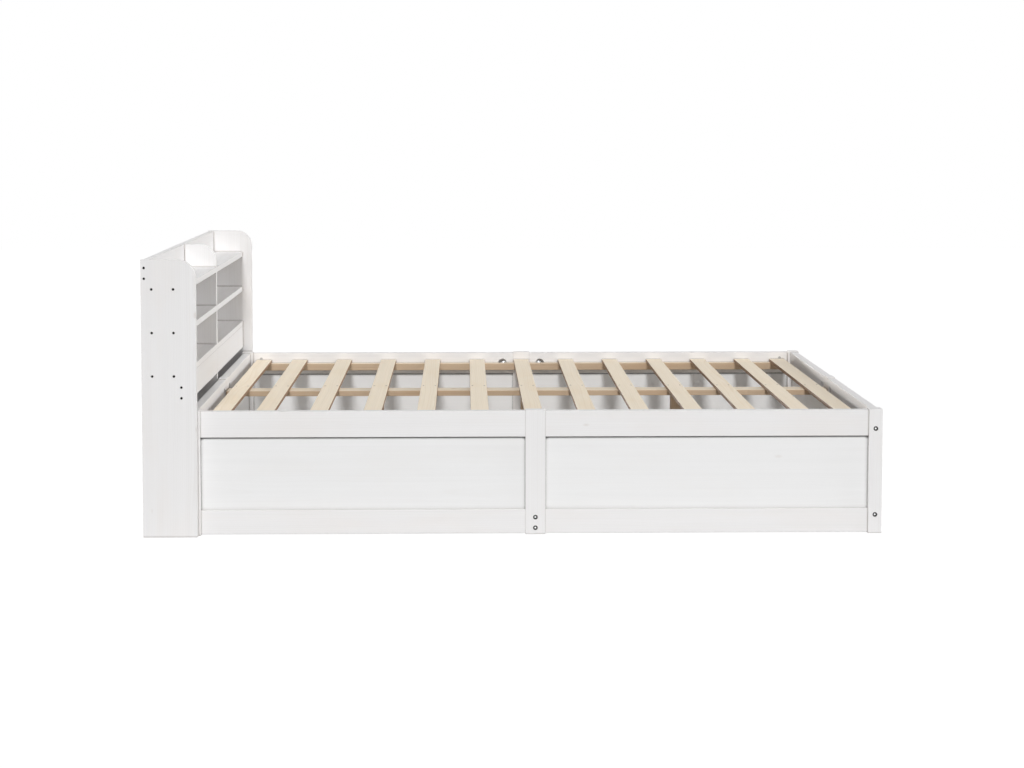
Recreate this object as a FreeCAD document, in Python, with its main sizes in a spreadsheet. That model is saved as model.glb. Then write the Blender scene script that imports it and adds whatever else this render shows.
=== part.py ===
"""Painted pine double bed with a bookshelf headboard, made of its boards, posts and fasteners.

+X runs from the headboard to the foot, -Y is the right side of a person lying on the bed, and +Z is up.
The origin is on the floor under the middle of the bed. Lengths are in millimetres.
"""
import FreeCAD
import Part
import os
import re
import Sketcher
from FreeCAD import Placement, Rotation, Vector

# Driving sizes, each set by itself
SIZES = {
    # base
    "inner_length": "1995",
    "base_width": "1460",
    "post_height": "375",
    "post_side": "41",
    "post_proud": "5",
    "centre_post_width": "60",
    "rail_thick": "26",
    "rail_height": "77.5",
    "rail_drop": "3",
    "lower_rail_height": "71.5",
    "lower_rail_lift": "4",
    "panel_thick": "12",
    "panel_recess": "8",
    "groove_depth": "8",
    "groove_play": "0.3",
    "edge_round": "1",
    # slats and what carries them
    "slat_width": "56",
    "slat_thick": "12",
    "slat_drop": "25",
    "slat_end_play": "2",
    "end_slat_gap": "13",
    "end_slat_pitch": "133",
    "slat_round": "1.5",
    "ledger_side": "25",
    "beam_width": "70",
    "beam_thick": "18",
    "beam_end_play": "2",
    "leg_side": "45",
    "leg_spread": "1010",
    # headboard
    "headboard_depth": "161",
    "headboard_height": "827",
    "corner_radius": "55",
    "side_thick": "20",
    "post_reveal": "6.5",
    "board_thick": "18",
    "shelf_setback": "35",
    "shelf_pitch": "129",
    "tray_depth": "79",
    "top_drop": "2",
    "apron_height": "80",
    "back_board_thick": "20",
    "back_panel_thick": "5",
    "skirting_gap": "60",
    # bolts, nuts and screws
    "bolt_diameter": "8",
    "bolt_play": "0.3",
    "bolt_head_diameter": "13",
    "bolt_head_height": "8",
    "bolt_head_hole": "14",
    "bolt_sink": "2",
    "bolt_past": "6",
    "bolt_stagger": "17",
    "socket_across": "6",
    "socket_depth": "4",
    "barrel_diameter": "10",
    "barrel_length": "16",
    "barrel_inset": "30",
    "barrel_slot": "1.5",
    "cross_bolt_height": "19.5",
    "cross_bolt_pitch": "32",
    "moon_diameter": "32",
    "moon_inset": "39.5",
    "moon_depth": "22",
    "moon_width": "14",
    "moon_web": "9",
    "nut_across": "13",
    "nut_height": "6.5",
    "stud_past": "2",
    "screw_diameter": "4.5",
    "screw_head": "7",
    "screw_head_height": "3",
    "screw_length": "50",
    "screw_sink": "1",
    "screw_play": "0.2",
    "screw_inset": "31.5",
    "screw_span": "64",
    "screw_pair": "32",
    "slat_screw_diameter": "3.5",
    "slat_screw_head": "6",
    "slat_screw_head_height": "2",
    "slat_screw_length": "26",
    "slat_screw_sink": "0",
    "slat_screw_pair": "40",
    "slot_share": "0.16",
    "dowel_diameter": "8",
    "dowel_length": "58",
    "post_dowel_length": "32",
    "post_dowel_depth": "20",
    "post_dowel_height": "130",
    "post_dowel_pitch": "110",
    "overrun": "1",
}

# Slats at the even pitch on each side of the middle one
EVEN_SLATS = 5

# Places and sizes worked out from the driving ones
PLACES = {
    "half_length": "(headboard_depth + post_reveal + inner_length + post_side) / 2",
    "back_x": "-half_length",
    "head_face_x": "back_x + headboard_depth + post_reveal",
    "foot_face_x": "head_face_x + inner_length",
    "mid_x": "head_face_x + inner_length / 2",
    "half_width": "base_width / 2",
    "post_outer": "half_width + post_proud",
    "foot_rail_x": "foot_face_x + post_side - post_proud",
    "side_rail_length": "(inner_length - centre_post_width) / 2",
    "end_rail_length": "post_outer - post_side - centre_post_width / 2",
    "rail_z": "post_height - rail_drop - rail_height",
    "upper_mid": "rail_z + rail_height / 2",
    "lower_mid": "lower_rail_lift + lower_rail_height / 2",
    "panel_low": "lower_rail_lift + lower_rail_height - groove_depth",
    "panel_high": "rail_z + groove_depth - groove_play",
    "groove_width": "panel_thick + 2 * groove_play",
    "groove_inset": "panel_recess - groove_play",
    "slat_top": "post_height - rail_drop - slat_drop",
    "slat_bottom": "slat_top - slat_thick",
    "slat_length": "base_width - 2 * rail_thick - 2 * slat_end_play",
    "beam_bottom": "slat_bottom - beam_thick",
    "end_slat_reach": "inner_length / 2 - end_slat_gap - slat_width / 2",
    "slat_pitch": f"(end_slat_reach - end_slat_pitch) / {EVEN_SLATS}",
    "shelf_back_x": "back_x + back_panel_thick",
    "shelf_front_x": "back_x + headboard_depth - shelf_setback",
    "shelf_depth": "shelf_front_x - shelf_back_x",
    "shelf_length": "post_outer - side_thick / 2",
    "tray_z": "headboard_height - tray_depth",
    "bottom_shelf_z": "tray_z - board_thick - 2 * shelf_pitch",
    "apron_z": "bottom_shelf_z - apron_height",
    "back_board_height": "headboard_height - top_drop - tray_z",
    "bolt_line": "post_side / 2 - post_proud",
    "bolt_hole": "bolt_diameter / 2 + bolt_play",
    "bolt_head_depth": "bolt_sink + bolt_head_height",
    "corner_bolt_length": "post_side - bolt_head_depth + barrel_inset + bolt_past",
    "cross_bolt_length": "rail_thick - bolt_head_depth + barrel_inset + bolt_past",
    "moon_flat": "moon_inset - moon_diameter / 2 + moon_web",
    "stud_length": "centre_post_width + 2 * (moon_flat + nut_height + stud_past)",
    "screw_grip": "screw_length - side_thick + screw_sink + overrun",
    "slat_screw_grip": "slat_screw_length + slat_screw_sink + overrun",
    "dowel_grip": "(dowel_length - side_thick) / 2",
    "side_dowel_depth": "post_dowel_length - post_dowel_depth",
    "socket_corner": "socket_across / sqrt(3)",
    "nut_corner": "nut_across / sqrt(3)",
}

ALONG_X = Vector(1, 0, 0)
ALONG_Y = Vector(0, 1, 0)
ALONG_Z = Vector(0, 0, 1)
QUARTER_TURN = Rotation(ALONG_Z, 90)

doc = FreeCAD.newDocument("bed_frame")
sheet = doc.addObject("Spreadsheet::Sheet", "sizes")
for row, (name, value) in enumerate(SIZES.items(), start=1):
    sheet.set(f"A{row}", value)
    sheet.setAlias(f"A{row}", name)
doc.recompute()
for row, (name, formula) in enumerate(PLACES.items(), start=1):
    sheet.set(f"B{row}", f"={formula}")
    sheet.setAlias(f"B{row}", name)
    doc.recompute()

nodes = []


def bind(thing, field, formula):
    """Tie one field to a formula of the sheet's names."""
    thing.setExpression(field, re.sub(r"[a-z][a-z_]+", r"sizes.\g<0>", formula))


def seat(thing, point, rotation=Rotation()):
    """Turn a thing, then put its own origin at a point given by three formulas."""
    thing.Placement = Placement(Vector(), rotation)
    for axis, formula in zip("xyz", point):
        bind(thing, f"Placement.Base.{axis}", formula)


def add(body, kind, fields, point=("0", "0", "0"), rotation=Rotation()):
    """Add a primitive to a body, with its sizes given by formulas."""
    feature = body.newObject(f"PartDesign::{kind}", f"{body.Name}_{kind}")
    for field, formula in fields.items():
        bind(feature, field, formula)
    seat(feature, point, rotation)
    return feature


def ease(body, radius="edge_round"):
    """Round over every edge that the body has so far."""
    blank = body.Tip
    doc.recompute()
    edges = body.newObject("PartDesign::Fillet", f"{body.Name}_eased")
    edges.Base = (blank, [""])
    edges.UseAllEdges = True
    bind(edges, "Radius", radius)


def board(label, size, corner, rotation=Rotation(), radius="edge_round"):
    """Make a board with eased edges, from its size along X, Y and Z and its lowest corner."""
    body = doc.addObject("PartDesign::Body", label)
    add(body, "AdditiveBox", dict(zip(("Length", "Width", "Height"), size)))
    ease(body, radius)
    seat(body, corner, rotation)
    return body


def drill(body, mouth, way, radius, depth):
    """Drill a round hole from its mouth, one overrun outside the wood."""
    add(body, "SubtractiveCylinder", {"Radius": radius, "Height": depth}, mouth, Rotation(ALONG_Z, way))


def mill(body, corner, size):
    """Cut a groove or slot in a body."""
    add(body, "SubtractiveBox", dict(zip(("Length", "Width", "Height"), size)), corner)


def mirror(source, label, normal, base_x="0"):
    """Make the opposite-hand copy of a piece."""
    copy = doc.addObject("Part::Mirroring", label)
    copy.Source = source
    copy.Normal = normal
    bind(copy, "Base.x", base_x)
    return copy


def to_left(source, label):
    """Mirror a right-hand piece to the left side of the bed."""
    return mirror(source, label, ALONG_Y)


def to_head(source, label):
    """Mirror a piece at the foot end to the head end."""
    return mirror(source, label, ALONG_X, "mid_x")


def copy_of(master, label, point, way=ALONG_Z, across=None):
    """Put a copy of a fastener or slat at a point, with its own Z along the way and its own X across it."""
    link = doc.addObject("App::Link", label)
    link.LinkedObject = master
    rotation = Rotation(across, Vector(), way, "ZXY") if across else Rotation(ALONG_Z, way)
    seat(link, point, rotation)
    return link


def group(label, pieces):
    """Gather separate solids of one kind in one node."""
    compound = doc.addObject("Part::Compound", label)
    compound.Links = pieces
    nodes.append(compound)


def four_corners(piece, kind, first_end, first_side):
    """Add a piece to the nodes with its mirror images at the other ends and sides."""
    other_end = "head" if first_end == "foot" else "foot"
    other_side = "left" if first_side == "right" else "right"
    far = to_head(piece, kind.format(end=other_end, side=first_side))
    across = to_left(piece, kind.format(end=first_end, side=other_side))
    opposite = to_left(far, kind.format(end=other_end, side=other_side))
    nodes.extend([piece, far, across, opposite])


def rail(label, length, height, groove_z, bolt_z, corner, rotation=Rotation()):
    """Make a rail that runs along its own X from the centre post to the corner post, outer face at Y 0."""
    body = board(label, (length, "rail_thick", height), corner, rotation)
    mill(
        body,
        ("-overrun", "groove_inset", groove_z),
        (f"{length} + 2 * overrun", "groove_width", "groove_depth + overrun"),
    )
    # bolt from the corner post, and the barrel nut that takes it
    drill(
        body,
        (f"{length} + overrun", "bolt_line", bolt_z),
        -ALONG_X,
        "bolt_hole",
        "barrel_inset + bolt_past + 2 * overrun",
    )
    drill(
        body,
        (f"{length} - barrel_inset", "rail_thick + overrun", bolt_z),
        -ALONG_Y,
        "barrel_diameter / 2 + bolt_play",
        "rail_thick - bolt_line + barrel_length / 2 + overrun",
    )
    # stud from the centre post, and the pocket for its half-moon nut
    drill(body, ("-overrun", "rail_thick / 2", f"{height} / 2"), ALONG_X, "bolt_hole", "moon_inset + overrun")
    drill(
        body,
        ("moon_inset", "rail_thick + overrun", f"{height} / 2"),
        -ALONG_Y,
        "moon_diameter / 2",
        "moon_depth + overrun",
    )
    return body


def panel(label, length, corner, rotation=Rotation()):
    """Make a thin panel that stands in the grooves of the rails and posts round it."""
    size = (f"{length} + 2 * (groove_depth - groove_play)", "panel_thick", "panel_high - panel_low")
    return board(label, size, corner, rotation)


def centre_post(label, corner, rotation=Rotation()):
    """Make the post between two half rails, grooved for a panel on each side."""
    body = board(label, ("centre_post_width", "rail_thick", "post_height"), corner, rotation)
    for groove_x in ("-overrun", "centre_post_width - groove_depth"):
        mill(
            body,
            (groove_x, "groove_inset", "panel_low - groove_play"),
            ("groove_depth + overrun", "groove_width", "panel_high - panel_low + 2 * groove_play"),
        )
    for height in ("upper_mid", "lower_mid"):
        drill(
            body,
            ("-overrun", "rail_thick / 2", height),
            ALONG_X,
            "bolt_hole",
            "centre_post_width + 2 * overrun",
        )
    return body


def bolt_through(body, mouth, way, thickness):
    """Drill a bolt hole right through a post, with a wider hole that sinks the head."""
    drill(body, mouth, way, "bolt_hole", f"{thickness} + 2 * overrun")
    drill(body, mouth, way, "bolt_head_hole / 2", "bolt_head_depth + overrun")


def corner_post(label):
    """Make the post of the right foot corner, grooved for the two panels that meet there."""
    body = board(
        label,
        ("post_side", "post_side", "post_height"),
        ("foot_face_x", "-post_outer", "0"),
    )
    mill(
        body,
        ("-overrun", "post_proud + groove_inset", "panel_low - groove_play"),
        ("groove_depth + overrun", "groove_width", "panel_high - panel_low + 2 * groove_play"),
    )
    mill(
        body,
        (
            "post_side - post_proud - groove_inset - groove_width",
            "post_side - groove_depth",
            "panel_low - groove_play",
        ),
        ("groove_width", "groove_depth + overrun", "panel_high - panel_low + 2 * groove_play"),
    )
    for height in ("upper_mid + bolt_stagger", "lower_mid - bolt_stagger"):
        mouth = ("post_side + overrun", "post_side / 2", height)
        bolt_through(body, mouth, -ALONG_X, "post_side")
    for height in ("upper_mid - bolt_stagger", "lower_mid + bolt_stagger"):
        mouth = ("post_side / 2", "-overrun", height)
        bolt_through(body, mouth, ALONG_Y, "post_side")
    return body


# Corner posts; those at the head are also dowelled to the headboard's sides
foot_corner = corner_post("foot_post_right")
nodes.extend([foot_corner, to_left(foot_corner, "foot_post_left")])
head_pattern = corner_post("head_post_pattern")
post_dowel_levels = ("post_dowel_height", "post_dowel_height + post_dowel_pitch")
for height in post_dowel_levels:
    drill(
        head_pattern,
        ("post_side / 2", "-overrun", height),
        ALONG_Y,
        "dowel_diameter / 2 + screw_play",
        "post_dowel_depth + 2 * overrun",
    )
head_corner = to_head(head_pattern, "head_post_right")
nodes.extend([head_corner, to_left(head_corner, "head_post_left")])

# Rails and panels of the long sides
side_start = ("mid_x + centre_post_width / 2", "-half_width")
side_rail = rail(
    "side_rail_right_foot",
    "side_rail_length",
    "rail_height",
    "-overrun",
    "rail_height / 2 + bolt_stagger",
    (*side_start, "rail_z"),
)
four_corners(side_rail, "side_rail_{side}_{end}", "foot", "right")
lower_side_rail = rail(
    "lower_side_rail_right_foot",
    "side_rail_length",
    "lower_rail_height",
    "lower_rail_height - groove_depth",
    "lower_rail_height / 2 - bolt_stagger",
    (*side_start, "lower_rail_lift"),
)
four_corners(lower_side_rail, "lower_side_rail_{side}_{end}", "foot", "right")
side_panel = panel(
    "side_panel_right_foot",
    "side_rail_length",
    (f"{side_start[0]} - groove_depth + groove_play", "-half_width + panel_recess", "panel_low"),
)
four_corners(side_panel, "side_panel_{side}_{end}", "foot", "right")

# Rails and panels of the head and foot ends
end_rail = rail(
    "foot_rail_left",
    "end_rail_length",
    "rail_height",
    "-overrun",
    "rail_height / 2 - bolt_stagger",
    ("foot_rail_x", "centre_post_width / 2", "rail_z"),
    QUARTER_TURN,
)
four_corners(end_rail, "{end}_rail_{side}", "foot", "left")
lower_end_rail = rail(
    "lower_foot_rail_left",
    "end_rail_length",
    "lower_rail_height",
    "lower_rail_height - groove_depth",
    "lower_rail_height / 2 + bolt_stagger",
    ("foot_rail_x", "centre_post_width / 2", "lower_rail_lift"),
    QUARTER_TURN,
)
four_corners(lower_end_rail, "lower_{end}_rail_{side}", "foot", "left")
end_panel = panel(
    "foot_panel_left",
    "end_rail_length",
    ("foot_rail_x - panel_recess", "centre_post_width / 2 - groove_depth + groove_play", "panel_low"),
    QUARTER_TURN,
)
four_corners(end_panel, "{end}_panel_{side}", "foot", "left")

# Centre posts
side_post = centre_post("side_centre_post_right", ("mid_x - centre_post_width / 2", "-half_width", "0"))
for height in ("cross_bolt_height", "cross_bolt_height + cross_bolt_pitch"):
    bolt_through(side_post, ("centre_post_width / 2", "-overrun", height), ALONG_Y, "rail_thick")
foot_post = centre_post("foot_centre_post", ("foot_rail_x", "-centre_post_width / 2", "0"), QUARTER_TURN)
nodes.extend([side_post, to_left(side_post, "side_centre_post_left")])
nodes.extend([foot_post, to_head(foot_post, "head_centre_post")])

# Cross beam at the floor, bolted between the centre posts of the long sides
beam_half = "(half_width - rail_thick)"
cross_beam = board(
    "cross_beam",
    ("rail_thick", f"2 * {beam_half}", "lower_rail_height"),
    ("mid_x - rail_thick / 2", f"-{beam_half}", "lower_rail_lift"),
)
for height in ("cross_bolt_height", "cross_bolt_height + cross_bolt_pitch"):
    hole_z = f"{height} - lower_rail_lift"
    for mouth_y, way, nut_y in (
        ("-overrun", ALONG_Y, "barrel_inset"),
        (f"2 * {beam_half} + overrun", -ALONG_Y, f"2 * {beam_half} - barrel_inset"),
    ):
        drill(
            cross_beam,
            ("rail_thick / 2", mouth_y, hole_z),
            way,
            "bolt_hole",
            "barrel_inset + bolt_past + 2 * overrun",
        )
        drill(
            cross_beam,
            ("rail_thick + overrun", nut_y, hole_z),
            -ALONG_X,
            "barrel_diameter / 2 + bolt_play",
            "(rail_thick + barrel_length) / 2 + overrun",
        )
nodes.append(cross_beam)

# Ledgers under the slat ends
ledger = board(
    "ledger_right_foot",
    ("inner_length / 2", "ledger_side", "ledger_side"),
    ("mid_x", "-half_width + rail_thick", "slat_bottom - ledger_side"),
    radius="slat_round",
)
four_corners(ledger, "ledger_{side}_{end}", "foot", "right")

# Centre beam in two halves, with a rest on the centre post at each end and legs between
beam_length = "foot_rail_x - rail_thick - beam_end_play - mid_x"
beam = board(
    "centre_beam_foot",
    (beam_length, "beam_width", "beam_thick"),
    ("mid_x", "-beam_width / 2", "beam_bottom"),
    radius="slat_round",
)
slat_places = [f"{step} * slat_pitch" for step in range(-EVEN_SLATS, EVEN_SLATS + 1)]
slat_places = ["-end_slat_reach", *slat_places, "end_slat_reach"]
foot_half = slat_places[len(slat_places) // 2:]
screw_places = [f"{place} {sign} slat_screw_pair / 2" for place in foot_half for sign in "-+"]
for place in screw_places[1:]:
    drill(
        beam,
        (place, "beam_width / 2", "beam_thick + overrun"),
        -ALONG_Z,
        "slat_screw_diameter / 2 + screw_play",
        "slat_screw_grip - slat_thick",
    )
nodes.extend([beam, to_head(beam, "centre_beam_head")])
foot_rest = board(
    "foot_beam_rest",
    ("ledger_side", "beam_width", "ledger_side"),
    ("foot_rail_x - rail_thick - ledger_side", "-beam_width / 2", "beam_bottom - ledger_side"),
    radius="slat_round",
)
group("beam_rests", [foot_rest, to_head(foot_rest, "head_beam_rest")])
foot_leg = board(
    "foot_leg",
    ("leg_side", "leg_side", "beam_bottom"),
    ("mid_x + (leg_spread - leg_side) / 2", "-leg_side / 2", "0"),
    radius="slat_round",
)
cross_beam_top = "lower_rail_lift + lower_rail_height"
middle_leg = board(
    "middle_leg",
    ("leg_side", "leg_side", f"beam_bottom - ({cross_beam_top})"),
    ("mid_x - leg_side / 2", "-leg_side / 2", cross_beam_top),
    radius="slat_round",
)
group("centre_legs", [foot_leg, to_head(foot_leg, "head_leg"), middle_leg])

# Slats, each screwed down to the centre beam
slat = board(
    "slat",
    ("slat_width", "slat_length", "slat_thick"),
    ("0", "0", "0"),
    radius="slat_round",
)
for sign in "-+":
    mouth = (f"slat_width / 2 {sign} slat_screw_pair / 2", "slat_length / 2", "slat_thick + overrun")
    drill(slat, mouth, -ALONG_Z, "slat_screw_diameter / 2 + screw_play", "slat_thick + 2 * overrun")
    drill(
        slat,
        mouth,
        -ALONG_Z,
        "slat_screw_head / 2 + screw_play",
        "slat_screw_sink + slat_screw_head_height + overrun",
    )
slats = [
    copy_of(slat, f"slat_{index}", (f"mid_x + {place} - slat_width / 2", "-slat_length / 2", "slat_bottom"))
    for index, place in enumerate(slat_places, start=1)
]
group("slats", slats)


def outline(label, points, corner_points, bindings, thickness):
    """Pad a closed outline in the XZ plane, with one tangent arc where two corner points follow each other.

    The bindings give, for a point, the formulas of its X and Z.
    """
    body = doc.addObject("PartDesign::Body", label)
    sketch = body.newObject("Sketcher::SketchObject", f"{label}_outline")
    plane = next(item for item in body.Origin.OriginFeatures if item.Role == "XZ_Plane")
    sketch.AttachmentSupport = [(plane, "")]
    sketch.MapMode = "FlatFace"
    arc_start, arc_end = corner_points
    centre = Vector(points[arc_end].x, points[arc_start].y, 0)
    radius = points[arc_start].x - centre.x
    for index, start in enumerate(points):
        end = points[(index + 1) % len(points)]
        if index == arc_start:
            circle = Part.Circle(centre, ALONG_Z, radius)
            sketch.addGeometry(Part.ArcOfCircle(circle, 0, circle.parameter(end)))
        else:
            sketch.addGeometry(Part.LineSegment(start, end))
    for index in range(len(points)):
        join = "Tangent" if index in (arc_start - 1, arc_start) else "Coincident"
        sketch.addConstraint(Sketcher.Constraint(join, index, 2, (index + 1) % len(points), 1))
    for index, start in enumerate(points):
        end = points[(index + 1) % len(points)]
        if index != arc_start:
            way = "Vertical" if start.x == end.x else "Horizontal"
            sketch.addConstraint(Sketcher.Constraint(way, index))
    for name, (kind, index, formula) in bindings.items():
        if kind == "Radius":
            number = sketch.addConstraint(Sketcher.Constraint(kind, index, radius))
        else:
            value = points[index].x if kind == "DistanceX" else points[index].y
            number = sketch.addConstraint(Sketcher.Constraint(kind, -1, 1, index, 1, value))
        sketch.renameConstraint(number, name)
        bind(sketch, f"Constraints.{name}", formula)
    doc.recompute()
    pad = body.newObject("PartDesign::Pad", f"{label}_pad")
    pad.Profile = sketch
    bind(pad, "Length", thickness)
    ease(body)
    return body


def size_of(name):
    """Read one value from the sheet."""
    return float(sheet.get(name))


# Headboard sides, each a tall board with its top front corner rounded
depth = size_of("headboard_depth")
height = size_of("headboard_height")
corner = size_of("corner_radius")
side = outline(
    "headboard_side_right",
    [
        Vector(0, 0, 0),
        Vector(depth, 0, 0),
        Vector(depth, height - corner, 0),
        Vector(depth - corner, height, 0),
        Vector(0, height, 0),
    ],
    (2, 3),
    {
        "back": ("DistanceX", 0, "0"),
        "foot": ("DistanceY", 0, "0"),
        "front": ("DistanceX", 1, "headboard_depth"),
        "top": ("DistanceY", 4, "headboard_height"),
        "corner": ("Radius", 2, "corner_radius"),
    },
    "side_thick",
)
seat(side, ("back_x", "-post_outer", "0"))
shelf_levels = {
    "top": "tray_z - board_thick",
    "middle": "tray_z - board_thick - shelf_pitch",
    "bottom": "bottom_shelf_z",
}
screw_points = [
    (x, f"{z} + board_thick / 2")
    for z in shelf_levels.values()
    for x in ("screw_inset", "screw_inset + screw_span")
]
for sign in "-+":
    screw_points.append(
        ("back_board_thick / 2", f"tray_z + (back_board_height {sign} screw_pair) / 2")
    )
    screw_points.append(
        (
            "headboard_depth - shelf_setback - board_thick / 2",
            f"apron_z + (apron_height {sign} screw_pair) / 2",
        )
    )
for x, z in screw_points:
    mouth = (x, "-side_thick - overrun", z)
    drill(side, mouth, ALONG_Y, "screw_diameter / 2 + screw_play", "side_thick + 2 * overrun")
    drill(
        side,
        mouth,
        ALONG_Y,
        "screw_head / 2 + screw_play",
        "screw_sink + screw_head_height + overrun",
    )
for height in post_dowel_levels:
    drill(
        side,
        ("headboard_depth + post_reveal - post_side / 2", "overrun", height),
        -ALONG_Y,
        "dowel_diameter / 2 + screw_play",
        "side_dowel_depth + 2 * overrun",
    )
nodes.extend([side, to_left(side, "headboard_side_left")])

# Divider in the middle of the headboard, cut away behind for the top back board
back = size_of("back_panel_thick")
front = size_of("headboard_depth") - size_of("shelf_setback")
top = size_of("headboard_height") - size_of("top_drop")
divider = outline(
    "headboard_divider",
    [
        Vector(back, 0, 0),
        Vector(front, 0, 0),
        Vector(front, top - corner, 0),
        Vector(front - corner, top, 0),
        Vector(size_of("back_board_thick"), top, 0),
        Vector(size_of("back_board_thick"), size_of("tray_z"), 0),
        Vector(back, size_of("tray_z"), 0),
    ],
    (2, 3),
    {
        "back": ("DistanceX", 0, "back_panel_thick"),
        "foot": ("DistanceY", 0, "0"),
        "front": ("DistanceX", 1, "headboard_depth - shelf_setback"),
        "top": ("DistanceY", 4, "headboard_height - top_drop"),
        "board": ("DistanceX", 4, "back_board_thick"),
        "notch": ("DistanceY", 6, "tray_z"),
        "corner": ("Radius", 2, "corner_radius"),
    },
    "side_thick",
)
seat(divider, ("back_x", "side_thick / 2", "0"))
dowel_points = [
    (x, f"{z} + board_thick / 2")
    for z in shelf_levels.values()
    for x in ("screw_inset", "screw_inset + screw_span")
]
apron_dowel = ("headboard_depth - shelf_setback - board_thick / 2", "apron_z + apron_height / 2")
for x, z in [*dowel_points, apron_dowel]:
    drill(
        divider,
        (x, "-side_thick - overrun", z),
        ALONG_Y,
        "dowel_diameter / 2 + screw_play",
        "side_thick + 2 * overrun",
    )
nodes.append(divider)

# Half shelves, screwed through the sides and dowelled to the divider
for level, shelf_z in shelf_levels.items():
    shelf = board(
        f"{level}_shelf_right",
        ("shelf_depth", "shelf_length", "board_thick"),
        ("shelf_back_x", "-post_outer", shelf_z),
    )
    for x in ("screw_inset - back_panel_thick", "screw_inset + screw_span - back_panel_thick"):
        drill(
            shelf,
            (x, "-overrun", "board_thick / 2"),
            ALONG_Y,
            "screw_diameter / 2 + screw_play",
            "screw_grip + overrun",
        )
        drill(
            shelf,
            (x, "shelf_length + overrun", "board_thick / 2"),
            -ALONG_Y,
            "dowel_diameter / 2 + screw_play",
            "dowel_grip + 2 * overrun",
        )
    nodes.extend([shelf, to_left(shelf, f"{level}_shelf_left")])

# Aprons under the bottom shelves
apron = board(
    "headboard_apron_right",
    ("board_thick", "shelf_length", "apron_height"),
    ("shelf_front_x - board_thick", "-post_outer", "apron_z"),
)
for sign in "-+":
    drill(
        apron,
        ("board_thick / 2", "-overrun", f"(apron_height {sign} screw_pair) / 2"),
        ALONG_Y,
        "screw_diameter / 2 + screw_play",
        "screw_grip + overrun",
    )
drill(
    apron,
    ("board_thick / 2", "shelf_length + overrun", "apron_height / 2"),
    -ALONG_Y,
    "dowel_diameter / 2 + screw_play",
    "dowel_grip + 2 * overrun",
)
nodes.extend([apron, to_left(apron, "headboard_apron_left")])

# Board behind the tray on top, and the thin back of the compartments
back_board = board(
    "top_back_board",
    ("back_board_thick", "2 * post_outer", "back_board_height"),
    ("back_x", "-post_outer", "tray_z"),
)
for sign in "-+":
    hole_z = f"(back_board_height {sign} screw_pair) / 2"
    for mouth_y, way in (("-overrun", ALONG_Y), ("2 * post_outer + overrun", -ALONG_Y)):
        drill(
            back_board,
            ("back_board_thick / 2", mouth_y, hole_z),
            way,
            "screw_diameter / 2 + screw_play",
            "screw_grip + overrun",
        )
nodes.append(back_board)
back_panel = board(
    "headboard_back",
    ("back_panel_thick", "2 * post_outer", "tray_z - skirting_gap"),
    ("back_x", "-post_outer", "skirting_gap"),
)
nodes.append(back_panel)


def bolt(label, shank):
    """Make a socket bolt along its own Z, with the top of its head at Z 0."""
    body = doc.addObject("PartDesign::Body", label)
    add(
        body,
        "AdditiveCylinder",
        {"Radius": "bolt_head_diameter / 2", "Height": "bolt_head_height"},
        ("0", "0", "-bolt_head_height"),
    )
    add(
        body,
        "AdditiveCylinder",
        {"Radius": "bolt_diameter / 2", "Height": shank},
        ("0", "0", f"-bolt_head_height - ({shank})"),
    )
    socket = add(
        body,
        "SubtractivePrism",
        {"Circumradius": "socket_corner", "Height": "socket_depth + overrun"},
        ("0", "0", "-socket_depth"),
    )
    socket.Polygon = 6
    return body


def screw(label, diameter, head, head_height, length):
    """Make a wood screw along its own Z, with a tapered head, its top at Z 0, and a slot across it."""
    body = doc.addObject("PartDesign::Body", label)
    add(
        body,
        "AdditiveCone",
        {"Radius1": f"{diameter} / 2", "Radius2": f"{head} / 2", "Height": head_height},
        ("0", "0", f"-{head_height}"),
    )
    add(
        body,
        "AdditiveCylinder",
        {"Radius": f"{diameter} / 2", "Height": f"{length} - {head_height}"},
        ("0", "0", f"-{length}"),
    )
    slot = f"{head} * slot_share"
    mill(
        body,
        (f"-{head} / 2 - overrun", f"-{slot} / 2", f"-{slot}"),
        (f"{head} + 2 * overrun", slot, f"{slot} + overrun"),
    )
    return body


# Bolts through the corner posts into the rails, and through the side centre posts into the cross beam
corner_bolt = bolt("corner_bolt", "corner_bolt_length")
cross_bolt = bolt("cross_bolt", "cross_bolt_length")
barrel = doc.addObject("PartDesign::Body", "barrel_nut")
add(
    barrel,
    "AdditiveCylinder",
    {"Radius": "barrel_diameter / 2", "Height": "barrel_length"},
    ("0", "0", "-barrel_length / 2"),
)
drill(
    barrel,
    ("-barrel_diameter", "0", "0"),
    ALONG_X,
    "bolt_diameter / 2",
    "2 * barrel_diameter",
)
mill(
    barrel,
    ("-barrel_diameter", "-barrel_slot / 2", "barrel_length / 2 - barrel_slot"),
    ("2 * barrel_diameter", "barrel_slot", "barrel_slot + overrun"),
)

post_back_x = "foot_face_x + post_side - bolt_sink"
side_nut_x = "foot_face_x - barrel_inset"
end_nut_y = "post_outer - post_side - barrel_inset"
end_bolt_x = "foot_rail_x - bolt_line"
side_bolt_y = "half_width - bolt_line"
end_rail_mid_x = "foot_rail_x - rail_thick / 2"
side_rail_mid_y = "half_width - rail_thick / 2"


def near(end, x):
    """Give a place along X near the foot as the same place near the given end."""
    return x if end == "foot" else f"2 * mid_x - ({x})"


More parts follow.
